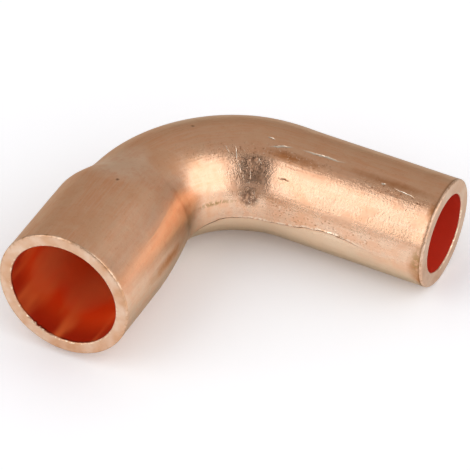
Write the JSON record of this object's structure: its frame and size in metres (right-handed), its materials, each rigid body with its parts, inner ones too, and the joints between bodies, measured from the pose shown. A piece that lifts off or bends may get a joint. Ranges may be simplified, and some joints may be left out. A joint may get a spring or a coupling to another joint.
{
  "type": "copper tube bend",
  "caption": "Right-angle copper tube bend with a solder socket at one end and a plain spigot at the other.",
  "frame": {"origin": "centre of the socket's mouth, on the tube's centreline", "axes": "+Y into the socket, +X out of the spigot, +Z square to the plane of the bend, up when it lies on its side"},
  "size_m": [0.0317, 0.0286, 0.0124],
  "materials": {
    "copper": "satin bare copper, as drawn and formed"
  },
  "bodies": {
    "root": {"bend": "copper"}
  },
  "joints": []
}
